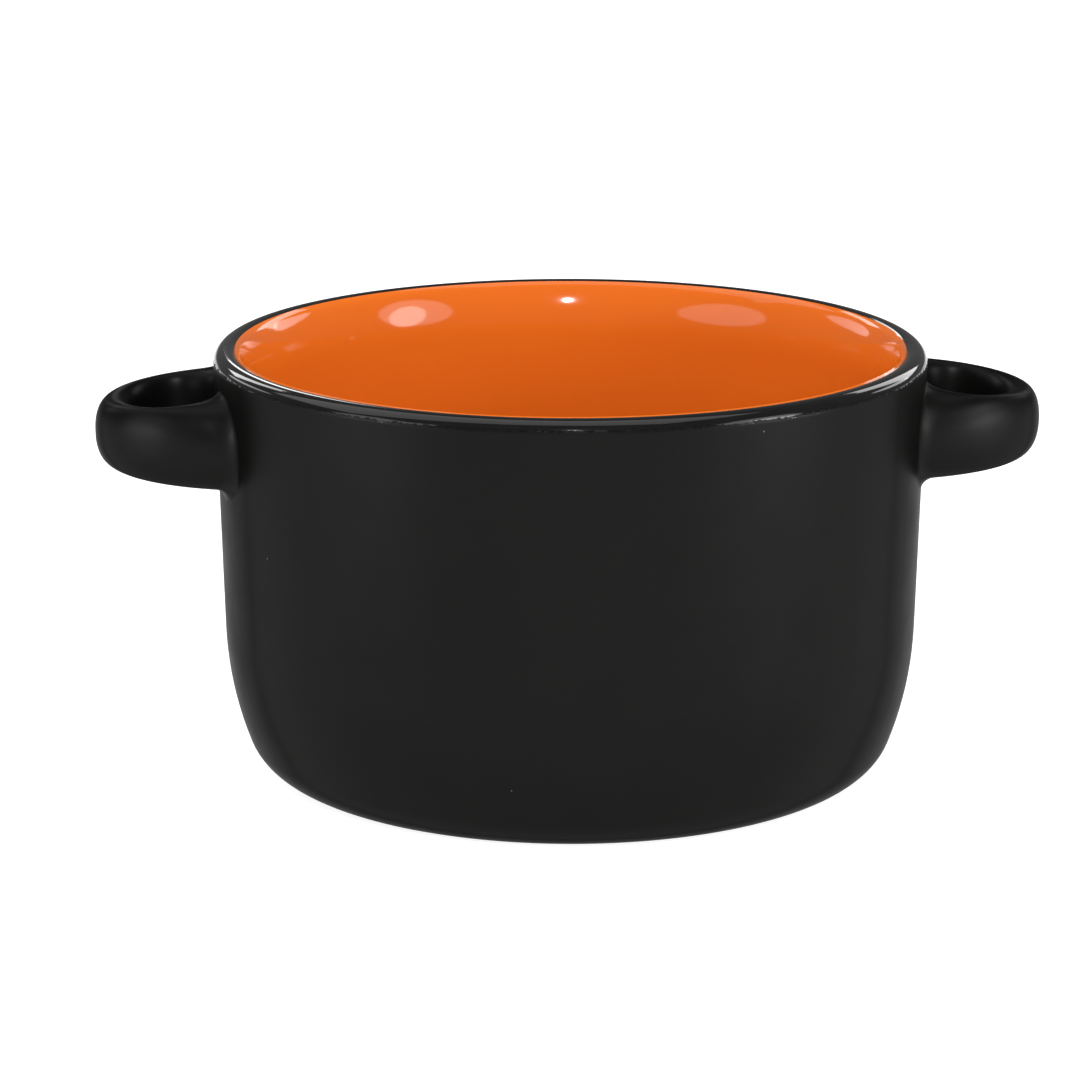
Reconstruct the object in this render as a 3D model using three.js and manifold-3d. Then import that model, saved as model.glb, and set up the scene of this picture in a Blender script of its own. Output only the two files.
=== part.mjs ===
// Soup bowl of glazed stoneware with two ear handles, in millimetres, +Z up, standing on z = 0.
// The clay body is turned, the handles are pressed and luted on with slip, and three coats of
// glaze cover the outside, the lip and the inside. The handles lie along X, the right one at +X.
import * as THREE from "three";
import { ParametricGeometry } from "three/addons/geometries/ParametricGeometry.js";
import { mergeVertices } from "three/addons/utils/BufferGeometryUtils.js";
import Module from "manifold-3d";

// Bowl, measured over the glaze
const BOWL_HEIGHT = 72.6;
const RIM_DIAMETER = 120;
const WALL_THICKNESS = 6;
const WALL_TAPER_DEG = 1.6; // both faces of the wall lean out by this much
const FLOOR_HEIGHT = 6.5;
const INNER_CORNER_RADIUS = 14;

// Lip: a small round, eased into the inside by a long flare
const LIP_RADIUS = 2.2;
const INNER_FLARE_RADIUS = 20;

// Underside: the belly turns in, the heel rolls under to a flat foot ring round a turned recess
const BELLY_RADIUS = 58.7;
const BELLY_TURN_DEG = 18.9;
const HEEL_RADIUS = 8.9;
const FOOT_RING_WIDTH = 4.5;
const RECESS_DEPTH = 1.5;

// Coats of glaze
const GLAZE_THICKNESS = 0.35;
const RIM_BAND_FROM_DEG = 20; // the matte coat stops and the gloss band starts here on the lip's round
const RIM_BAND_TO_DEG = 125; // the gloss band stops and the liner starts here, inside the lip's top
const BARE_FOOT_FROM_DEG = 80; // the matte coat stops here on the heel's round

// Ear handles: a strap round an oval finger hole, thinnest at the tip and spread at its two roots
const HANDLE_DROP = 13.55; // from the lip down to the middle of the strap
const HANDLE_REACH = 20.3; // from the wall out to the tip
const HANDLE_WIDTH = 38; // across the roots
const HANDLE_ROOT_DEPTH = 5.4; // the outer oval's middle lies this far inside the wall's face
const FINGER_HOLE_WIDTH = 24;
const FINGER_HOLE_BITE = 0.5; // the finger hole's oval reaches this far into the wall's face
const STRAP_TIP_THICKNESS = 6.8;
const STRAP_TIP_HEIGHT = 11.5;
const STRAP_ROOT_HEIGHT = 16.2;
const STRAP_SQUARENESS = 2.3; // exponent of the section: 2 is an ellipse
const ROOT_FILLET = 2;
const UPPER_FILLET_RISE = 0.8; // the fillet on top of the strap is lower,
const UPPER_FILLET_LENGTH = 4.4; // and drawn out along it

// Slip joints
const SLIP_THICKNESS = 1;
const JOINT_GAP = 0.3;

// Fineness of the faceted surfaces
const TURN_STEPS = 48;
const STRAP_STEPS = 15; // from a root to the tip
const SECTION_STEPS = 20;
const ROOT_CROWDING = 2.4; // power that draws the steps together towards a root
const ROOT_OVERRUN = 0.06; // share of the strap that runs on into the wall before it is cut
const HOLE_ROOT_TURN_DEG = 165; // turn of the finger hole's oval that belongs to a root

const rimRadius = RIM_DIAMETER / 2;
const taper = THREE.MathUtils.degToRad(WALL_TAPER_DEG);
const bellyTurn = taper + THREE.MathUtils.degToRad(BELLY_TURN_DEG);
const rimBandFrom = THREE.MathUtils.degToRad(RIM_BAND_FROM_DEG);
const rimBandTo = THREE.MathUtils.degToRad(RIM_BAND_TO_DEG);
const bareFootFrom = THREE.MathUtils.degToRad(BARE_FOOT_FROM_DEG);
const lipRadius = Math.min(LIP_RADIUS, WALL_THICKNESS / 2);
const lipCentre = new THREE.Vector2(rimRadius - lipRadius, BOWL_HEIGHT - lipRadius);

// In plan the strap lies between half of one oval, outside, and nearly the whole of another, inside
const strapZ = BOWL_HEIGHT - HANDLE_DROP;
const strapWall = wallRadius(strapZ);
const outerOval = {
  x: strapWall - HANDLE_ROOT_DEPTH,
  length: HANDLE_ROOT_DEPTH + HANDLE_REACH,
  width: HANDLE_WIDTH / 2,
  rootTurn: Math.PI / 2,
};
const holeReach = HANDLE_REACH - STRAP_TIP_THICKNESS;
const holeOval = {
  x: strapWall + (holeReach - FINGER_HOLE_BITE) / 2,
  length: (holeReach + FINGER_HOLE_BITE) / 2,
  width: FINGER_HOLE_WIDTH / 2,
  rootTurn: THREE.MathUtils.degToRad(HOLE_ROOT_TURN_DEG),
};

const wasm = await Module();
wasm.setup();

// Radius of the leaning wall at a height, at a depth below the outside glaze
function wallRadius(z, depth = 0) {
  return lipCentre.x + (lipRadius - depth) / Math.cos(taper) - (lipCentre.y - z) * Math.tan(taper);
}

// Points on a round of the profile; the angles are the directions that its two ends face
function round(centre, radius, from, to, steps) {
  const arc = new THREE.EllipseCurve(centre.x, centre.y, radius, radius, from, to, to < from);
  return arc.getPoints(steps);
}

// The point of a round that faces one direction
function facing(centre, radius, angle) {
  return new THREE.Vector2(radius * Math.cos(angle), radius * Math.sin(angle)).add(centre);
}

// Centre of a second round that carries on from a first one where that faces an angle
function carryOn(centre, radius, nextRadius, angle) {
  return facing(centre, radius - nextRadius, angle);
}

// Profile at a depth below the glaze's surface, as the stretches that the coats follow
function profile(depth) {
  const bellyTop = HEEL_RADIUS + (BELLY_RADIUS - HEEL_RADIUS) * Math.sin(bellyTurn)
    - BELLY_RADIUS * Math.sin(taper);
  const bellyCentre = new THREE.Vector2(
    wallRadius(bellyTop) - BELLY_RADIUS * Math.cos(taper),
    bellyTop + BELLY_RADIUS * Math.sin(taper),
  );
  const heelCentre = carryOn(bellyCentre, BELLY_RADIUS, HEEL_RADIUS, -bellyTurn);

  const lipTurn = taper + Math.acos(
    (lipRadius + INNER_FLARE_RADIUS - WALL_THICKNESS) / (INNER_FLARE_RADIUS - lipRadius),
  );
  const flareCentre = carryOn(lipCentre, lipRadius, INNER_FLARE_RADIUS, Math.PI - lipTurn);
  const cornerZ = FLOOR_HEIGHT + INNER_CORNER_RADIUS;
  const cornerCentre = new THREE.Vector2(
    wallRadius(cornerZ, WALL_THICKNESS + INNER_CORNER_RADIUS), cornerZ,
  );

  return {
    bareHeel: round(heelCentre, HEEL_RADIUS, -Math.PI / 2, -bareFootFrom, 1),
    outside: [
      ...round(heelCentre, HEEL_RADIUS - depth, -bareFootFrom, -bellyTurn, 4),
      ...round(bellyCentre, BELLY_RADIUS - depth, -bellyTurn, -taper, 3).slice(1),
      ...round(lipCentre, lipRadius - depth, -taper, rimBandFrom, 2),
    ],
    lip: [
      ...round(lipCentre, lipRadius - depth, rimBandFrom, Math.PI / 2, 3),
      ...round(lipCentre, lipRadius - depth, Math.PI / 2, rimBandTo, 2).slice(1),
    ],
    inside: [
      ...round(lipCentre, lipRadius - depth, rimBandTo, Math.PI - lipTurn, 2),
      ...round(flareCentre, INNER_FLARE_RADIUS - depth, Math.PI - lipTurn, Math.PI - taper, 3).slice(1),
      ...round(cornerCentre, INNER_CORNER_RADIUS + depth, -taper, -Math.PI / 2, 5),
      new THREE.Vector2(0, FLOOR_HEIGHT - depth),
    ],
  };
}

// Turned solid from a profile that runs round its section anticlockwise
function turned(points) {
  return new THREE.LatheGeometry(points, TURN_STEPS).rotateX(Math.PI / 2);
}

// Geometry to solid, with shared vertices merged and collapsed triangles dropped
function solid(geometry) {
  const bare = geometry.clone();
  bare.deleteAttribute("normal");
  bare.deleteAttribute("uv");
  const merged = mergeVertices(bare, 1e-4);
  const kept = [];
  for (let i = 0; i < merged.index.count; i += 3) {
    const corners = [0, 1, 2].map((k) => merged.index.getX(i + k));
    if (new Set(corners).size === 3) kept.push(...corners);
  }
  return new wasm.Manifold(new wasm.Mesh({
    numProp: 3,
    vertProperties: merged.getAttribute("position").array,
    triVerts: new Uint32Array(kept),
  }));
}

function geometryOf(body) {
  const { vertProperties, triVerts } = body.getMesh();
  return new THREE.BufferGeometry()
    .setAttribute("position", new THREE.BufferAttribute(vertProperties, 3))
    .setIndex(new THREE.BufferAttribute(triVerts, 1));
}

// Clay body: bare foot ring and recess, then the surface that lies under the three coats
function bodyGeometry() {
  const surface = profile(0);
  const clay = profile(GLAZE_THICKNESS);
  const footEdge = surface.bareHeel[0].x;
  const ringInside = footEdge - FOOT_RING_WIDTH;
  return turned([
    new THREE.Vector2(0, RECESS_DEPTH),
    new THREE.Vector2(ringInside - RECESS_DEPTH, RECESS_DEPTH),
    new THREE.Vector2(ringInside, 0),
    ...surface.bareHeel,
    ...clay.outside,
    ...clay.lip.slice(1),
    ...clay.inside.slice(1),
  ]);
}

// Coat of glaze on one stretch of the profile, closed on itself or on the axis
function coatGeometry(stretch) {
  const face = profile(0)[stretch];
  const back = profile(GLAZE_THICKNESS)[stretch].reverse();
  const closing = back[0].x === 0 ? [] : [back[0]];
  return turned([...back, ...face, ...closing]);
}

// Everything within the outside wall, at a depth below the glaze or, if negative, above it
function wallCore(depth) {
  const wall = profile(depth).outside;
  return solid(turned([
    new THREE.Vector2(0, wall[0].y),
    ...wall,
    new THREE.Vector2(0, wall.at(-1).y),
  ]));
}

// Point of an oval at a place along the strap: 0 at the tip, -1 and 1 at the front and back roots
function onOval(oval, place) {
  const turn = place * oval.rootTurn;
  return new THREE.Vector2(oval.x + oval.length * Math.cos(turn), oval.width * Math.sin(turn));
}

// Point of the strap's rounded section at a place along it, and how far that stands off the wall
function sectionPoint(place, side, rise, grow) {
  const rounded = (x) => Math.sign(x) * Math.abs(x) ** (2 / STRAP_SQUARENESS);
  const face = onOval(outerOval, place);
  const back = onOval(holeOval, place);
  const outward = face.clone().sub(back).normalize();
  const middle = face.clone().add(back).multiplyScalar(0.5);
  const thickness = face.distanceTo(back);
  const height = THREE.MathUtils.lerp(STRAP_TIP_HEIGHT, STRAP_ROOT_HEIGHT, place ** 2);
  const plan = middle.clone().addScaledVector(outward, rounded(side) * (thickness / 2 + grow));
  const z = strapZ + rounded(rise) * (height / 2 + grow);
  return { middle, outward, plan, z, off: plan.length() - wallRadius(z) };
}

// Place at which a line along the strap's surface meets the wall
function rootPlace(side, rise, grow) {
  let clear = 0;
  let sunk = Math.PI / holeOval.rootTurn;
  for (let i = 0; i < 30; i += 1) {
    const place = (clear + sunk) / 2;
    if (sectionPoint(place, side, rise, grow).off > 0) clear = place;
    else sunk = place;
  }
  return clear;
}

// Swept strap of the right handle through shares of the way from its tip, at 0, to where each line
// meets the wall, at -1 and 1. Near the wall the section swells along it into the fillets.
function strapGeometry(shares, grow = 0) {
  const rings = [shares[0], ...shares, shares.at(-1)];
  const surface = (u, v, target) => {
    const ring = Math.round(v * (rings.length - 1));
    const side = Math.cos(u * 2 * Math.PI);
    const rise = -Math.sin(u * 2 * Math.PI);
    if (ring === 0 || ring === rings.length - 1) {
      const end = sectionPoint(rings[ring] * rootPlace(0, 1, grow), 0, 1, grow).middle;
      target.set(end.x, end.y, strapZ);
      return;
    }
    const place = rings[ring] * rootPlace(side, rise, grow);
    const { outward, plan, z, off } = sectionPoint(place, side, rise, grow);
    const upper = Math.max(0, rise);
    const length = THREE.MathUtils.lerp(ROOT_FILLET, UPPER_FILLET_LENGTH, upper);
    const height = THREE.MathUtils.lerp(ROOT_FILLET, UPPER_FILLET_RISE, upper);
    const near = THREE.MathUtils.clamp(1 - off / length, 0, 1);
    const fillet = height * (1 - Math.sqrt(1 - near * near));
    const alongWall = new THREE.Vector2(-plan.y, plan.x).normalize();
    const turn = fillet * side * outward.dot(alongWall) / plan.length();
    const raised = z + fillet * rise;
    plan.setLength(wallRadius(raised) + off).rotateAround(new THREE.Vector2(), turn);
    target.set(plan.x, plan.y, raised);
  };
  return new ParametricGeometry(surface, SECTION_STEPS, rings.length - 1);
}

// Shares of the way along the strap, crowded towards the roots; each half runs on into the clay
const rootToTip = Array.from(
  { length: STRAP_STEPS + 1 }, (_, i) => 1 - (i / STRAP_STEPS) ** ROOT_CROWDING,
);
const backHalf = [1 + ROOT_OVERRUN, ...rootToTip].reverse();
const frontHalf = backHalf.map((share) => -share).reverse();
const wholeStrap = [...frontHalf, ...backHalf.slice(1)];

// Handle and slip joints of the right side, cut where they meet each other and the clay
const slipInside = GLAZE_THICKNESS - JOINT_GAP;
const slipOutside = slipInside - SLIP_THICKNESS;
const handle = solid(strapGeometry(wholeStrap)).subtract(wallCore(slipOutside - JOINT_GAP));
const slipJoint = (half) => solid(strapGeometry(half))
  .intersect(wallCore(slipOutside))
  .subtract(wallCore(slipInside));
const frontSlip = slipJoint(frontHalf);
const backSlip = slipJoint(backHalf);

// The matte coat is open round each slip joint
const window = strapGeometry(wholeStrap, JOINT_GAP);
const outerCoat = solid(coatGeometry("outside"))
  .subtract(solid(window))
  .subtract(solid(window.clone().rotateZ(Math.PI)));

const clay = new THREE.MeshStandardMaterial({ color: 0xcdbfa8, roughness: 0.85, metalness: 0 });
const matteBlack = new THREE.MeshStandardMaterial({ color: 0x232323, roughness: 0.5, metalness: 0 });
const glossBlack = new THREE.MeshStandardMaterial({ color: 0x111111, roughness: 0.08, metalness: 0 });
const glossOrange = new THREE.MeshStandardMaterial({ color: 0xe0641b, roughness: 0.12, metalness: 0 });

function piece(name, geometry, material) {
  const mesh = new THREE.Mesh(geometry, material);
  mesh.name = name;
  return mesh;
}

const bowl = new THREE.Group();
bowl.add(
  piece("stoneware_body", bodyGeometry(), clay),
  piece("outer_glaze", geometryOf(outerCoat), matteBlack),
  piece("rim_glaze", coatGeometry("lip"), glossBlack),
  piece("inner_glaze", coatGeometry("inside"), glossOrange),
);

// The left handle is the right one turned half round, so its front root is the right one's back root
const rightSide = new THREE.Group();
rightSide.add(
  piece("right_handle", geometryOf(handle), matteBlack),
  piece("right_handle_front_slip", geometryOf(frontSlip), matteBlack),
  piece("right_handle_back_slip", geometryOf(backSlip), matteBlack),
);
const leftSide = new THREE.Group();
leftSide.rotation.z = Math.PI;
leftSide.add(
  piece("left_handle", geometryOf(handle), matteBlack),
  piece("left_handle_front_slip", geometryOf(backSlip), matteBlack),
  piece("left_handle_back_slip", geometryOf(frontSlip), matteBlack),
);
bowl.add(rightSide, leftSide);

export default bowl;
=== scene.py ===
import math

import bmesh
import bpy
from mathutils import Matrix, Quaternion, Vector


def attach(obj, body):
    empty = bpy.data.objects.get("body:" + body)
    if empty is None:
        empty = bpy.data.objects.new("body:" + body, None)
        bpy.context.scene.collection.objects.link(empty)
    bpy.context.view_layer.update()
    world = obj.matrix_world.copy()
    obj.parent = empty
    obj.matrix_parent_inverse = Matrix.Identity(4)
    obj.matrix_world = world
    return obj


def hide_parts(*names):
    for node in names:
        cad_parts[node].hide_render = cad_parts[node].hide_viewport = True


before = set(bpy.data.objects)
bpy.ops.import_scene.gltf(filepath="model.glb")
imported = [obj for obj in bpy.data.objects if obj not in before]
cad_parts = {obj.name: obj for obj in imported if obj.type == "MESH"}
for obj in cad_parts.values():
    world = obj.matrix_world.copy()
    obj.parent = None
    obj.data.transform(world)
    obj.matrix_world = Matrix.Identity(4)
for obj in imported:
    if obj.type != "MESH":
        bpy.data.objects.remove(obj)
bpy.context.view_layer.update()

# Stoneware body
# The bowl itself: buff stoneware, thrown, turned at the foot and fired. The coats of glaze hide all
# of it but the foot ring and its recess, which are wiped bare so that they don't stick in the kiln.
MM = 0.001
BOWL_HEIGHT = 72.6 * MM
RIM_RADIUS = 60 * MM
WALL_THICKNESS = 6 * MM
WALL_TAPER = math.radians(1.6)
FLOOR_HEIGHT = 6.5 * MM
INNER_CORNER_RADIUS = 14 * MM
LIP_RADIUS = 2.2 * MM
FLARE_RADIUS = 20 * MM
BELLY_RADIUS = 58.7 * MM
BELLY_TURN = WALL_TAPER + math.radians(18.9)
HEEL_RADIUS = 8.9 * MM
FOOT_RING_WIDTH = 4.5 * MM
RECESS_DEPTH = 1.5 * MM
GLAZE_THICKNESS = 0.35 * MM
RIM_BAND_FROM = math.radians(20)
RIM_BAND_TO = math.radians(125)
BARE_FOOT_FROM = math.radians(80)
TURN_STEPS = 256
FOOT_STEPS = 3
HEEL_STEPS = 14
BELLY_STEPS = 10
LIP_STEPS = 16
FLARE_STEPS = 8
CORNER_STEPS = 14
MERGE_DISTANCE = 0.002 * MM
REAL_EDGE_ANGLE = math.radians(40)

STONEWARE_BUFF = "#CDBFA8"
STONEWARE_SHADE = "#B8A78C"
IRON_SPECK = "#6E5338"
STONEWARE_ROUGHNESS = 0.85
TURNING_MARK_SPACING = 1.1 * MM
TURNING_MARK_DEPTH = 0.08 * MM
WAVE_TURN = 20
CLAY_MOTTLE_WIDTH = 6 * MM
CLAY_GRIT_WIDTH = 0.5 * MM
CLAY_GRIT_DEPTH = 0.05 * MM
IRON_SPECK_SPACING = 2.5 * MM
IRON_SPECK_FROM = 0.67
IRON_SPECK_FULL = 0.71
IRON_SPECK_STRENGTH = 0.8


def facing(centre, radius, angle):
    """The point of a round in the bowl's section that faces an angle from the horizontal."""
    return centre + radius * Vector((math.cos(angle), 0, math.sin(angle)))


LIP_CENTRE = Vector((RIM_RADIUS - LIP_RADIUS, 0, BOWL_HEIGHT - LIP_RADIUS))


def wall_radius(z, depth=0.0):
    """Radius of the leaning wall at a height, at a depth under its outside."""
    lean = (LIP_CENTRE.z - z) * math.tan(WALL_TAPER)
    return LIP_CENTRE.x + (LIP_RADIUS - depth) / math.cos(WALL_TAPER) - lean


belly_top = (HEEL_RADIUS + (BELLY_RADIUS - HEEL_RADIUS) * math.sin(BELLY_TURN)
             - BELLY_RADIUS * math.sin(WALL_TAPER))
belly_centre = Vector((
    wall_radius(belly_top) - BELLY_RADIUS * math.cos(WALL_TAPER), 0,
    belly_top + BELLY_RADIUS * math.sin(WALL_TAPER),
))
heel_centre = facing(belly_centre, BELLY_RADIUS - HEEL_RADIUS, -BELLY_TURN)
lip_turn = WALL_TAPER + math.acos(
    (LIP_RADIUS + FLARE_RADIUS - WALL_THICKNESS) / (FLARE_RADIUS - LIP_RADIUS)
)
flare_centre = facing(LIP_CENTRE, LIP_RADIUS - FLARE_RADIUS, math.pi - lip_turn)
corner_z = FLOOR_HEIGHT + INNER_CORNER_RADIUS
corner_centre = Vector((wall_radius(corner_z, WALL_THICKNESS + INNER_CORNER_RADIUS), 0, corner_z))


def draw(bm, start, *strokes):
    """Draws a section: a stroke is a point to run to, or (centre, turn, steps) of a round."""
    pen = bm.verts.new(start)
    for stroke in strokes:
        if isinstance(stroke, Vector):
            pen = bmesh.ops.extrude_vert_indiv(bm, verts=[pen])["verts"][0]
            pen.co = stroke
        else:
            centre, turn, steps = stroke
            arc = bmesh.ops.spin(
                bm, geom=[pen], cent=centre, axis=(0, -1, 0), angle=turn, steps=steps)
            pen = [part for part in arc["geom_last"] if isinstance(part, bmesh.types.BMVert)][0]


def turn_on_the_wheel(bm):
    """Turns the drawn section once round the bowl's axis."""
    bmesh.ops.spin(
        bm, geom=bm.verts[:] + bm.edges[:], cent=(0, 0, 0), axis=(0, 0, 1),
        angle=2 * math.pi, steps=TURN_STEPS, use_merge=True)
    bmesh.ops.remove_doubles(bm, verts=bm.verts, dist=MERGE_DISTANCE)
    bmesh.ops.recalc_face_normals(bm, faces=bm.faces)


def finished(name, bm, material):
    """Makes the object of a finished mesh, smooth but for its real edges."""
    mesh = bpy.data.meshes.new(name)
    bm.to_mesh(mesh)
    bm.free()
    mesh.shade_smooth()
    mesh.set_sharp_from_angle(angle=REAL_EDGE_ANGLE)
    mesh.materials.append(material)
    piece = bpy.data.objects.new(name, mesh)
    bpy.context.scene.collection.objects.link(piece)
    return piece


def linear(hex_colour):
    """sRGB hex colour to linear RGBA."""
    parts = [int(hex_colour[i:i + 2], 16) / 255 for i in (1, 3, 5)]
    return [c / 12.92 if c <= 0.04045 else ((c + 0.055) / 1.055) ** 2.4 for c in parts] + [1]


def add(tree, kind, inputs=None, **settings):
    """Adds a node with its settings. An input that is given a socket is linked, any other is set.

    Sockets go by name, or by number where a node has several of one name.
    """
    node = tree.nodes.new(kind)
    for key, value in settings.items():
        setattr(node, key, value)
    for key, value in (inputs or {}).items():
        if isinstance(value, bpy.types.NodeSocket):
            tree.links.new(value, node.inputs[key])
        else:
            node.inputs[key].default_value = value
    return node


# Fired stoneware is dull and a little rough, with faint rings from the turning tool and iron specks.
# A wave texture of scale 1 turns by WAVE_TURN radians in a metre.
bare_stoneware = bpy.data.materials.new("bare_stoneware")
bare_stoneware.use_nodes = True
tree = bare_stoneware.node_tree
tree.nodes.clear()
place = add(tree, "ShaderNodeTexCoord").outputs["Object"]
rings = add(tree, "ShaderNodeTexWave", {
    "Vector": place, "Scale": 2 * math.pi / WAVE_TURN / TURNING_MARK_SPACING, "Distortion": 0.6,
    "Detail": 2, "Detail Scale": 0.3}, wave_type="RINGS", rings_direction="Z").outputs["Fac"]
mottle = add(tree, "ShaderNodeTexNoise", {
    "Vector": place, "Scale": 1 / CLAY_MOTTLE_WIDTH, "Detail": 5}).outputs["Fac"]
shade = add(tree, "ShaderNodeMix", {
    0: mottle, 6: linear(STONEWARE_BUFF), 7: linear(STONEWARE_SHADE)}, data_type="RGBA").outputs[2]
specks = add(tree, "ShaderNodeTexNoise", {
    "Vector": place, "Scale": 1 / IRON_SPECK_SPACING, "Detail": 3}).outputs["Fac"]
speckled = add(tree, "ShaderNodeMapRange", {
    "Value": specks, "From Min": IRON_SPECK_FROM, "From Max": IRON_SPECK_FULL,
    "To Max": IRON_SPECK_STRENGTH}).outputs["Result"]
clay_colour = add(tree, "ShaderNodeMix", {
    0: speckled, 6: shade, 7: linear(IRON_SPECK)}, data_type="RGBA").outputs[2]
tooled = add(tree, "ShaderNodeBump", {
    "Height": rings, "Strength": 0.25, "Distance": TURNING_MARK_DEPTH}).outputs["Normal"]
grit = add(tree, "ShaderNodeTexNoise", {
    "Vector": place, "Scale": 1 / CLAY_GRIT_WIDTH, "Detail": 2}).outputs["Fac"]
grainy = add(tree, "ShaderNodeBump", {
    "Height": grit, "Strength": 0.3, "Distance": CLAY_GRIT_DEPTH, "Normal": tooled}).outputs["Normal"]
shader = add(tree, "ShaderNodeBsdfPrincipled", {
    "Base Color": clay_colour, "Roughness": STONEWARE_ROUGHNESS, "Normal": grainy})
add(tree, "ShaderNodeOutputMaterial", {"Surface": shader.outputs["BSDF"]})

foot_edge = heel_centre.x
ring_inside = foot_edge - FOOT_RING_WIDTH
bm = bmesh.new()
draw(
    bm,
    Vector((0, 0, RECESS_DEPTH)),
    Vector((ring_inside - RECESS_DEPTH, 0, RECESS_DEPTH)),
    Vector((ring_inside, 0, 0)),
    Vector((foot_edge, 0, 0)),
    (heel_centre, math.pi / 2 - BARE_FOOT_FROM, FOOT_STEPS),
    facing(heel_centre, HEEL_RADIUS - GLAZE_THICKNESS, -BARE_FOOT_FROM),
    (heel_centre, BARE_FOOT_FROM - BELLY_TURN, HEEL_STEPS),
    (belly_centre, BELLY_TURN - WALL_TAPER, BELLY_STEPS),
    facing(LIP_CENTRE, LIP_RADIUS - GLAZE_THICKNESS, -WALL_TAPER),
    (LIP_CENTRE, math.pi + WALL_TAPER - lip_turn, LIP_STEPS),
    (flare_centre, lip_turn - WALL_TAPER, FLARE_STEPS),
    facing(corner_centre, INNER_CORNER_RADIUS + GLAZE_THICKNESS, -WALL_TAPER),
    (corner_centre, WALL_TAPER - math.pi / 2, CORNER_STEPS),
    Vector((0, 0, FLOOR_HEIGHT - GLAZE_THICKNESS)),
)
turn_on_the_wheel(bm)
bowl = finished("stoneware_bowl", bm, bare_stoneware)
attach(bowl, "root")
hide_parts("stoneware_body")

# Matte coat
# Black matte glaze on the outside, from the foot up over the lip's shoulder, where the gloss band
# overlaps it. It is sprayed on and fired, and fuses with the handles' own coat.
MATTE_BLACK = "#090909"
MATTE_BLACK_WORN = "#0E0E0D"
MATTE_ROUGHNESS_LOW = 0.34
MATTE_ROUGHNESS_HIGH = 0.4
MATTE_SHINE = 0.1
MATTE_SHINE_AT_EDGE = 0.007
SHINE_FADES_FROM = 0.05
SHINE_FADES_TO = 0.63
PALE_SPECK = "#77756F"
GLAZE_CLOUD_WIDTH = 9 * MM
GLAZE_CLOUD_LOW = 0.3
GLAZE_CLOUD_HIGH = 0.7
GLAZE_GRAIN = 0.35 * MM
GLAZE_GRAIN_DEPTH = 0.03 * MM
PALE_SPECK_SPACING = 11 * MM
PALE_SPECK_RADIUS = 0.16 * MM
PALE_SPECK_CORE = 0.08 * MM
GLOSS_RUN = 0.5 * MM
GLOSS_RUN_SPACING = 0.9 * MM
GLOSS_RUN_NONE = 0.35
GLOSS_RUN_FULL = 0.65
GLOSS_RUN_FADE = 0.08 * MM
GLOSS_ROUGHNESS = 0.07
GLOSS_SHINE = 0.35
SHOULDER_STEPS = 6

# A matte glaze is full of fine crystals: it takes soft, wide highlights, and at flat angles, where
# the crystals hide each other, it hardly mirrors at all. Along its upper edge the gloss of the band
# runs unevenly over it. The grain is drawn a little coarser than it is, so that it shows.
matte_black_glaze = bpy.data.materials.new("matte_black_glaze")
matte_black_glaze.use_nodes = True
tree = matte_black_glaze.node_tree
tree.nodes.clear()
place = add(tree, "ShaderNodeTexCoord").outputs["Object"]
cloud = add(tree, "ShaderNodeTexNoise", {
    "Vector": place, "Scale": 1 / GLAZE_CLOUD_WIDTH, "Detail": 4}).outputs["Fac"]
black = add(tree, "ShaderNodeMix", {
    0: cloud, 6: linear(MATTE_BLACK), 7: linear(MATTE_BLACK_WORN)}, data_type="RGBA").outputs[2]
cells = add(tree, "ShaderNodeTexVoronoi", {"Vector": place, "Scale": 1 / PALE_SPECK_SPACING})
speck = add(tree, "ShaderNodeMapRange", {
    "Value": cells.outputs["Distance"],
    "From Min": PALE_SPECK_RADIUS / PALE_SPECK_SPACING,
    "From Max": PALE_SPECK_CORE / PALE_SPECK_SPACING}).outputs["Result"]
black_colour = add(tree, "ShaderNodeMix", {
    0: speck, 6: black, 7: linear(PALE_SPECK)}, data_type="RGBA").outputs[2]
crystals = add(tree, "ShaderNodeTexNoise", {
    "Vector": place, "Scale": 1 / GLAZE_GRAIN, "Detail": 3}).outputs["Fac"]
matte_dullness = add(tree, "ShaderNodeMapRange", {
    "Value": cloud, "From Min": GLAZE_CLOUD_LOW, "From Max": GLAZE_CLOUD_HIGH,
    "To Min": MATTE_ROUGHNESS_LOW, "To Max": MATTE_ROUGHNESS_HIGH}).outputs["Result"]
flatness = add(tree, "ShaderNodeLayerWeight", {"Blend": 0.5}).outputs["Facing"]
matte_shine = add(tree, "ShaderNodeMapRange", {
    "Value": flatness, "From Min": SHINE_FADES_FROM, "From Max": SHINE_FADES_TO,
    "To Min": MATTE_SHINE, "To Max": MATTE_SHINE_AT_EDGE}).outputs["Result"]
band_edge = facing(LIP_CENTRE, LIP_RADIUS, RIM_BAND_FROM).z
runs = add(tree, "ShaderNodeTexNoise", {
    "Vector": place, "Scale": 1 / GLOSS_RUN_SPACING, "Detail": 4}).outputs["Fac"]
run_edge = add(tree, "ShaderNodeMapRange", {
    "Value": runs, "From Min": GLOSS_RUN_NONE, "From Max": GLOSS_RUN_FULL,
    "To Min": band_edge, "To Max": band_edge - GLOSS_RUN}).outputs["Result"]
height = add(tree, "ShaderNodeSeparateXYZ", {"Vector": place}).outputs["Z"]
above = add(tree, "ShaderNodeMath", {0: height, 1: run_edge}, operation="SUBTRACT").outputs[0]
glossed = add(tree, "ShaderNodeMapRange", {
    "Value": above, "From Max": GLOSS_RUN_FADE}).outputs["Result"]
dullness = add(tree, "ShaderNodeMix", {
    0: glossed, 2: matte_dullness, 3: GLOSS_ROUGHNESS}).outputs[0]
shine = add(tree, "ShaderNodeMix", {0: glossed, 2: matte_shine, 3: GLOSS_SHINE}).outputs[0]
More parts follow.
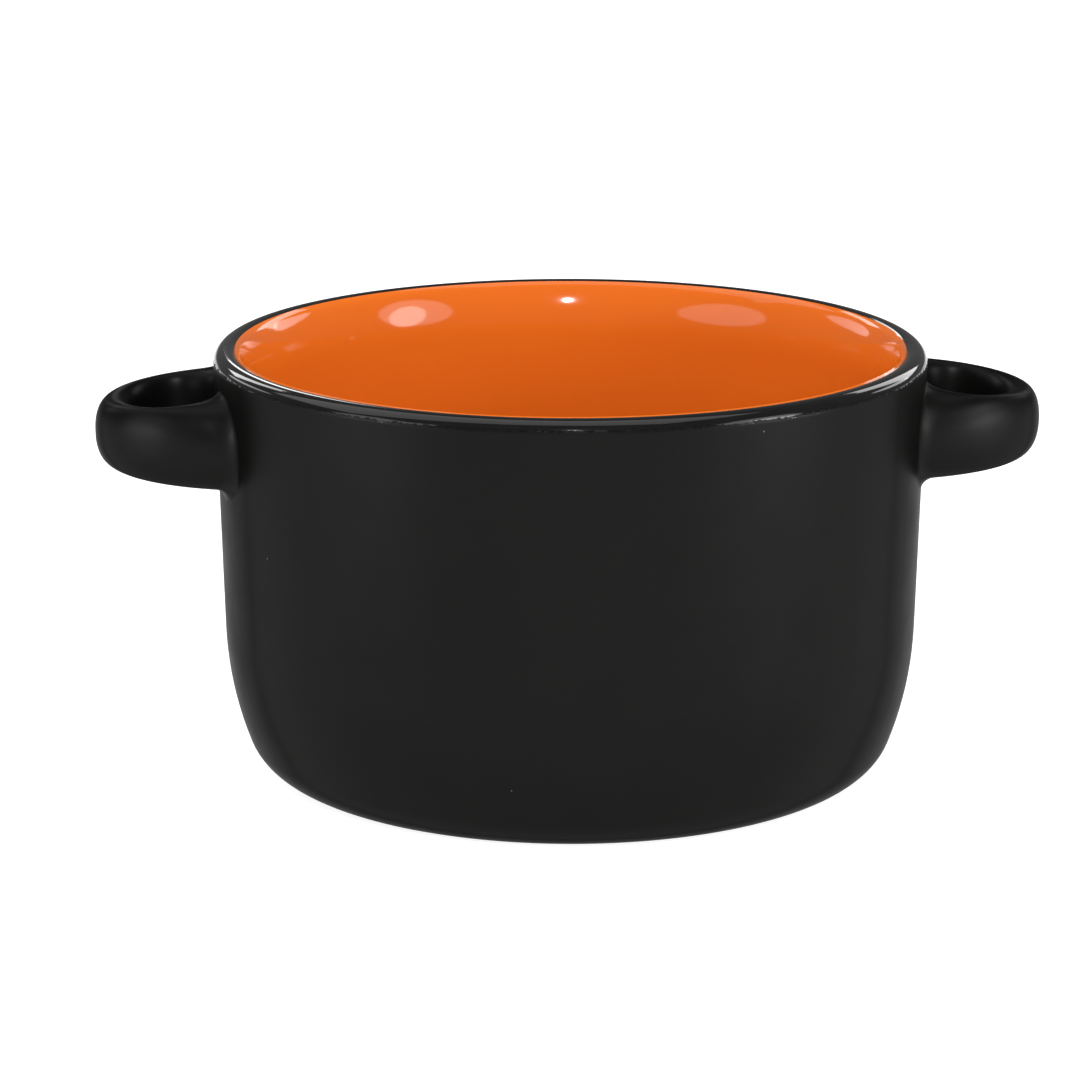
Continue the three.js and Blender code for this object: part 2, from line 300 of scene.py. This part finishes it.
grained = add(tree, "ShaderNodeBump", {
    "Height": crystals, "Strength": 0.08, "Distance": GLAZE_GRAIN_DEPTH}).outputs["Normal"]
shader = add(tree, "ShaderNodeBsdfPrincipled", {
    "Base Color": black_colour, "Roughness": dullness, "Specular IOR Level": shine,
    "Normal": grained})
add(tree, "ShaderNodeOutputMaterial", {"Surface": shader.outputs["BSDF"]})

bm = bmesh.new()
draw(
    bm,
    facing(heel_centre, HEEL_RADIUS, -BARE_FOOT_FROM),
    (heel_centre, BARE_FOOT_FROM - BELLY_TURN, HEEL_STEPS),
    (belly_centre, BELLY_TURN - WALL_TAPER, BELLY_STEPS),
    facing(LIP_CENTRE, LIP_RADIUS, -WALL_TAPER),
    (LIP_CENTRE, WALL_TAPER + RIM_BAND_FROM, SHOULDER_STEPS),
)
turn_on_the_wheel(bm)
bmesh.ops.solidify(bm, geom=bm.faces[:], thickness=GLAZE_THICKNESS)
matte_coat = finished("matte_coat", bm, matte_black_glaze)
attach(matte_coat, "root")
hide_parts("outer_glaze")

# Gloss band
# Black gloss glaze over the lip, from the shoulder outside to just past the top, where the orange
# starts. The lip is dipped in it after the matte coat, so that it is smooth to drink from.
GLOSS_BLACK = "#0B0B0C"
GLOSS_BLACK_THIN = "#141413"
GLAZE_WAVE = 7 * MM
BAND_WAVE_DEPTH = 0.1 * MM

# A gloss glaze is glass: it mirrors sharply, and its long waves bend the lamps' reflections a little.
gloss_black_glaze = bpy.data.materials.new("gloss_black_glaze")
gloss_black_glaze.use_nodes = True
tree = gloss_black_glaze.node_tree
tree.nodes.clear()
place = add(tree, "ShaderNodeTexCoord").outputs["Object"]
waves = add(tree, "ShaderNodeTexNoise", {
    "Vector": place, "Scale": 1 / GLAZE_WAVE, "Detail": 1}).outputs["Fac"]
gloss_colour = add(tree, "ShaderNodeMix", {
    0: waves, 6: linear(GLOSS_BLACK), 7: linear(GLOSS_BLACK_THIN)}, data_type="RGBA").outputs[2]
wavy = add(tree, "ShaderNodeBump", {
    "Height": waves, "Strength": 0.3, "Distance": BAND_WAVE_DEPTH}).outputs["Normal"]
shader = add(tree, "ShaderNodeBsdfPrincipled", {
    "Base Color": gloss_colour, "Roughness": GLOSS_ROUGHNESS,
    "Specular IOR Level": GLOSS_SHINE, "Normal": wavy})
add(tree, "ShaderNodeOutputMaterial", {"Surface": shader.outputs["BSDF"]})

bm = bmesh.new()
draw(
    bm,
    facing(LIP_CENTRE, LIP_RADIUS, RIM_BAND_FROM),
    (LIP_CENTRE, RIM_BAND_TO - RIM_BAND_FROM, LIP_STEPS),
)
turn_on_the_wheel(bm)
bmesh.ops.solidify(bm, geom=bm.faces[:], thickness=GLAZE_THICKNESS)
gloss_band = finished("gloss_band", bm, gloss_black_glaze)
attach(gloss_band, "root")
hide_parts("rim_glaze")

# Orange liner
# Orange gloss glaze on the inside, poured in, swilled round and tipped out before the firing, so
# that it lies a little unevenly. Its colour is also darkened towards the floor as painted shade.
LINER_ORANGE = "#E87220"
# The deeper orange shows in the glaze's thicker patches and, as painted shade, towards the floor.
LINER_ORANGE_DEEP = "#D1671B"
PAINTED_SHADE_FULL_HEIGHT = 40 * MM
POOL_WIDTH = 18 * MM
POOL_UNEVENNESS = 0.25
LINER_WAVE_DEPTH = 0.08 * MM
LINER_LIP_STEPS = 6
LINER_FLARE_STEPS = 10
LINER_CORNER_STEPS = 16

# The liner is glass coloured in the mass: bright, sharp in its highlights and slightly wavy.
orange_gloss_glaze = bpy.data.materials.new("orange_gloss_glaze")
orange_gloss_glaze.use_nodes = True
tree = orange_gloss_glaze.node_tree
tree.nodes.clear()
place = add(tree, "ShaderNodeTexCoord").outputs["Object"]
waves = add(tree, "ShaderNodeTexNoise", {
    "Vector": place, "Scale": 1 / GLAZE_WAVE, "Detail": 2}).outputs["Fac"]
pooled = add(tree, "ShaderNodeTexNoise", {
    "Vector": place, "Scale": 1 / POOL_WIDTH, "Detail": 3}).outputs["Fac"]
height = add(tree, "ShaderNodeSeparateXYZ", {"Vector": place}).outputs["Z"]
# Painted shade: depth darkens the colour from the rim down towards the floor of the bowl. thickness
# adds the glaze's own uneven pooling on top of that painted shade.
depth = add(tree, "ShaderNodeMapRange", {
    "Value": height, "From Min": BOWL_HEIGHT, "From Max": PAINTED_SHADE_FULL_HEIGHT}).outputs["Result"]
thickness = add(tree, "ShaderNodeMath", {
    0: pooled, 1: POOL_UNEVENNESS, 2: depth}, operation="MULTIPLY_ADD").outputs[0]
orange = add(tree, "ShaderNodeMix", {
    0: thickness, 6: linear(LINER_ORANGE), 7: linear(LINER_ORANGE_DEEP)},
    data_type="RGBA").outputs[2]
wavy = add(tree, "ShaderNodeBump", {
    "Height": waves, "Strength": 0.2, "Distance": LINER_WAVE_DEPTH}).outputs["Normal"]
shader = add(tree, "ShaderNodeBsdfPrincipled", {
    "Base Color": orange, "Roughness": GLOSS_ROUGHNESS,
    "Specular IOR Level": GLOSS_SHINE, "Normal": wavy})
add(tree, "ShaderNodeOutputMaterial", {"Surface": shader.outputs["BSDF"]})

bm = bmesh.new()
draw(
    bm,
    facing(LIP_CENTRE, LIP_RADIUS, RIM_BAND_TO),
    (LIP_CENTRE, math.pi - lip_turn - RIM_BAND_TO, LINER_LIP_STEPS),
    (flare_centre, lip_turn - WALL_TAPER, LINER_FLARE_STEPS),
    facing(corner_centre, INNER_CORNER_RADIUS, -WALL_TAPER),
    (corner_centre, WALL_TAPER - math.pi / 2, LINER_CORNER_STEPS),
    Vector((0, 0, FLOOR_HEIGHT)),
)
turn_on_the_wheel(bm)
bmesh.ops.reverse_faces(bm, faces=bm.faces)
bmesh.ops.solidify(bm, geom=bm.faces[:], thickness=GLAZE_THICKNESS)
liner = finished("orange_liner", bm, orange_gloss_glaze)
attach(liner, "root")
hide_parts("inner_glaze")

# Ear handles
# Two loops of the same clay, pressed in a mould, luted to the wall with slip at both roots and
# smoothed in there, then coated with the matte black glaze together with the wall.
HANDLE_DROP = 13.55 * MM
HANDLE_REACH = 20.3 * MM
HANDLE_WIDTH = 38 * MM
HANDLE_ROOT_DEPTH = 5.4 * MM
FINGER_HOLE_WIDTH = 24 * MM
FINGER_HOLE_BITE = 0.5 * MM
HOLE_ROOT_TURN = math.radians(165)
STRAP_TIP_THICKNESS = 6.8 * MM
STRAP_TIP_HEIGHT = 11.5 * MM
STRAP_ROOT_HEIGHT = 16.2 * MM
STRAP_SQUARENESS = 2.3
ROOT_FILLET = 2 * MM
UPPER_FILLET_RISE = 0.8 * MM
UPPER_FILLET_LENGTH = 4.4 * MM
ROOT_SINK = 0.2 * MM
STRAP_STEPS = 56
SECTION_STEPS = 64
ROOT_CROWDING = 2.0
ROOT_SEARCH_STEPS = 40

strap_z = BOWL_HEIGHT - HANDLE_DROP
strap_wall = wall_radius(strap_z)
hole_reach = HANDLE_REACH - STRAP_TIP_THICKNESS
hole_centre = strap_wall + (hole_reach - FINGER_HOLE_BITE) / 2
hole_length = (hole_reach + FINGER_HOLE_BITE) / 2


def section_point(along, side, rise):
    """Point of the strap's section, the way out of the finger hole there, and its height off the wall.

    along is 0 at the tip and -1 and 1 about the roots. side and rise go round the section.
    """
    face = Vector((
        strap_wall - HANDLE_ROOT_DEPTH
        + (HANDLE_ROOT_DEPTH + HANDLE_REACH) * math.cos(along * math.pi / 2),
        HANDLE_WIDTH / 2 * math.sin(along * math.pi / 2), 0))
    back = Vector((
        hole_centre + hole_length * math.cos(along * HOLE_ROOT_TURN),
        FINGER_HOLE_WIDTH / 2 * math.sin(along * HOLE_ROOT_TURN), 0))
    height = STRAP_TIP_HEIGHT + (STRAP_ROOT_HEIGHT - STRAP_TIP_HEIGHT) * along ** 2
    across = math.copysign(abs(side) ** (2 / STRAP_SQUARENESS), side)
    up = math.copysign(abs(rise) ** (2 / STRAP_SQUARENESS), rise)
    point = (face + back) / 2 + (face - back) / 2 * across
    off_wall = point.length
    point.z = strap_z + up * height / 2
    return point, (face - back).normalized(), off_wall - wall_radius(point.z)


def root_of(side, rise):
    """How far along the strap a line on its surface sinks into the wall's glaze."""
    clear = 0.0
    sunk = math.pi / HOLE_ROOT_TURN
    for _ in range(ROOT_SEARCH_STEPS):
        along = (clear + sunk) / 2
        if section_point(along, side, rise)[2] > -ROOT_SINK:
            clear = along
        else:
            sunk = along
    return clear


def bend_to_strap(straight):
    """Moves a point of a straight tube, 2 long and 2 across, to the strap with its root fillets."""
    side, rise, share = straight
    crowded = math.copysign(1 - (1 - abs(share)) ** ROOT_CROWDING, share)
    point, out, off_wall = section_point(crowded * root_of(side, rise), side, rise)
    upper = max(0, rise)
    length = ROOT_FILLET + (UPPER_FILLET_LENGTH - ROOT_FILLET) * upper
    height = ROOT_FILLET + (UPPER_FILLET_RISE - ROOT_FILLET) * upper
    near = min(1, max(0, 1 - off_wall / length))
    fillet = height * (1 - math.sqrt(1 - near ** 2))
    along_wall = Vector((-point.y, point.x, 0)).normalized()
    turn = fillet * side * out.dot(along_wall) / point.xy.length
    raised = point.z + fillet * rise
    flat = point.xy.normalized() * (wall_radius(raised) + off_wall)
    flat.rotate(Matrix.Rotation(turn, 2))
    return Vector((flat.x, flat.y, raised))


for side_name, half_turn in (("right", 0), ("left", math.pi)):
    bm = bmesh.new()
    bmesh.ops.create_cone(
        bm, cap_ends=False, segments=SECTION_STEPS, radius1=1, radius2=1, depth=2)
    lengthwise = [edge for edge in bm.edges if abs(edge.verts[0].co.z - edge.verts[1].co.z) > 1]
    bmesh.ops.subdivide_edges(bm, edges=lengthwise, cuts=2 * STRAP_STEPS - 1, use_grid_fill=True)
    for vert in bm.verts:
        vert.co = bend_to_strap(vert.co)
    bmesh.ops.holes_fill(bm, edges=[edge for edge in bm.edges if edge.is_boundary])
    bmesh.ops.rotate(
        bm, verts=bm.verts, cent=(0, 0, 0), matrix=Matrix.Rotation(half_turn, 3, "Z"))
    bmesh.ops.recalc_face_normals(bm, faces=bm.faces)
    handle = finished(side_name + "_ear_handle", bm, matte_black_glaze)
    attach(handle, "root")
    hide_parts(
        side_name + "_handle", side_name + "_handle_front_slip",
        side_name + "_handle_back_slip")

# Floor
# A plain white table top that runs out of the view on all sides. It is lit by the lamps and keeps
# the bowl's soft shadow; what it adds by itself only lifts the lit part to white.
FLOOR_HALF_WIDTH = 4.0
FLOOR_WHITE = "#C0C0C0"
WHITE_LIFT = 0.9

white_floor = bpy.data.materials.new("white_table_top")
white_floor.use_nodes = True
tree = white_floor.node_tree
tree.nodes.clear()
path = add(tree, "ShaderNodeLightPath")
seen_or_mirrored = add(tree, "ShaderNodeMath", {
    0: path.outputs["Is Camera Ray"], 1: path.outputs["Is Glossy Ray"]}, operation="MAXIMUM")
seen = add(tree, "ShaderNodeMath", {
    0: seen_or_mirrored.outputs[0], 1: path.outputs["Is Transmission Ray"]}, operation="MAXIMUM")
lift = add(tree, "ShaderNodeMath", {0: seen.outputs[0], 1: WHITE_LIFT}, operation="MULTIPLY")
glow = add(tree, "ShaderNodeEmission", {"Strength": lift.outputs[0]})
paint = add(tree, "ShaderNodeBsdfDiffuse", {"Color": linear(FLOOR_WHITE)})
both = add(tree, "ShaderNodeAddShader", {0: glow.outputs[0], 1: paint.outputs[0]})
add(tree, "ShaderNodeOutputMaterial", {"Surface": both.outputs[0]})

bm = bmesh.new()
bmesh.ops.create_grid(bm, x_segments=1, y_segments=1, size=FLOOR_HALF_WIDTH)
floor = finished("table_top", bm, white_floor)

# Lamps
# A grey room with a wide soft lamp overhead, soft boxes in front of the bowl, beside it and behind
# it, a small bright lamp over the camera, and two low boxes that brush the matte wall and handles.
ROOM_GREY = 0.18

room = bpy.data.worlds.new("grey_room")
room.use_nodes = True
room.node_tree.nodes["Background"].inputs["Color"].default_value = (1, 1, 1, 1)
room.node_tree.nodes["Background"].inputs["Strength"].default_value = ROOM_GREY
bpy.context.scene.world = room

VIEW_TURN = math.radians(-4.5)
AIM = Vector((0, 0, 55 * MM))


def soft_box(name, azimuth, elevation, distance, width, height, power, shape="ELLIPSE", roll=0):
    """A lamp that faces the bowl, at an azimuth from the camera's side, to the right if positive.

    Angles are in degrees, lengths in metres and the power in watts.
    """
    turn = VIEW_TURN + math.radians(azimuth)
    lift = math.radians(elevation)
    back = Vector((
        math.sin(turn) * math.cos(lift), -math.cos(turn) * math.cos(lift), math.sin(lift)))
    light = bpy.data.lights.new(name, "AREA")
    light.shape = shape
    light.size = width
    light.size_y = height
    light.energy = power
    lamp = bpy.data.objects.new(name, light)
    lamp.location = AIM + back * distance
    lamp.rotation_mode = "QUATERNION"
    lamp.rotation_quaternion = (
        back.to_track_quat("Z", "Y") @ Quaternion((0, 0, 1), math.radians(roll)))
    bpy.context.scene.collection.objects.link(lamp)


soft_box(
    "overhead_lamp", azimuth=-100, elevation=74, distance=1.3,
    width=2.4, height=1.2, power=13, shape="RECTANGLE", roll=90)
soft_box(
    "right_front_box", azimuth=65.5, elevation=17, distance=0.9,
    width=0.24, height=0.3, power=1.2)
soft_box(
    "right_front_umbrella", azimuth=62.5, elevation=20, distance=0.95,
    width=0.52, height=0.4, power=1.5, roll=12)
soft_box(
    "left_front_umbrella", azimuth=-61, elevation=18.5, distance=0.95,
    width=0.62, height=0.34, power=1.15)
soft_box(
    "right_side_box", azimuth=126, elevation=18, distance=0.85,
    width=0.34, height=0.12, power=0.36, roll=-30)
soft_box(
    "left_side_box", azimuth=-125, elevation=15.5, distance=0.85,
    width=0.42, height=0.09, power=0.25, roll=26)
soft_box(
    "right_back_box", azimuth=142, elevation=25, distance=0.85,
    width=0.24, height=0.39, power=1.2, shape="RECTANGLE")
soft_box(
    "left_back_box", azimuth=-142.5, elevation=27, distance=0.85,
    width=0.15, height=0.3, power=0.75, shape="RECTANGLE")
soft_box(
    "back_box", azimuth=-169, elevation=21.5, distance=1.0,
    width=0.105, height=0.23, power=0.4, shape="RECTANGLE")
soft_box(
    "key_lamp", azimuth=1, elevation=30, distance=0.9,
    width=0.024, height=0.055, power=4.2)
soft_box(
    "right_low_box", azimuth=68, elevation=0, distance=0.9,
    width=0.5, height=0.07, power=3.2)
soft_box(
    "left_low_box", azimuth=-66, elevation=0, distance=0.9,
    width=0.5, height=0.07, power=2.4)

# Camera
# A long lens a little above the rim, with the left handle turned slightly towards it. It was fitted
# to the outlines of rim, wall and handles in a square picture, FRAME_PIXELS wide.
CAMERA_DISTANCE = 700 * MM
SENSOR_WIDTH = 36
CAMERA_ELEVATION = math.radians(11.64)
FOCAL_PIXELS = 4152
RIM_CENTRE_PIXEL = (570, 343)
FRAME_PIXELS = 1080
FRAME_CENTRE_PIXEL = FRAME_PIXELS / 2

camera_data = bpy.data.cameras.new("camera")
camera_data.sensor_width = SENSOR_WIDTH
camera_data.lens = FOCAL_PIXELS / FRAME_PIXELS * SENSOR_WIDTH
camera = bpy.data.objects.new("camera", camera_data)
back = Vector((
    math.sin(VIEW_TURN) * math.cos(CAMERA_ELEVATION),
    -math.cos(VIEW_TURN) * math.cos(CAMERA_ELEVATION),
    math.sin(CAMERA_ELEVATION)))
right = Vector((math.cos(VIEW_TURN), math.sin(VIEW_TURN), 0))
up = back.cross(right)
rim_centre = Vector((0, 0, BOWL_HEIGHT))
pixel = CAMERA_DISTANCE / FOCAL_PIXELS
middle = (rim_centre - right * (RIM_CENTRE_PIXEL[0] - FRAME_CENTRE_PIXEL) * pixel
          + up * (RIM_CENTRE_PIXEL[1] - FRAME_CENTRE_PIXEL) * pixel)
camera.location = rim_centre + back * CAMERA_DISTANCE
camera.rotation_mode = "QUATERNION"
camera.rotation_quaternion = (camera.location - middle).to_track_quat("Z", "Y")
bpy.context.scene.collection.objects.link(camera)
bpy.context.scene.camera = camera
bpy.context.scene.view_settings.view_transform = "Standard"
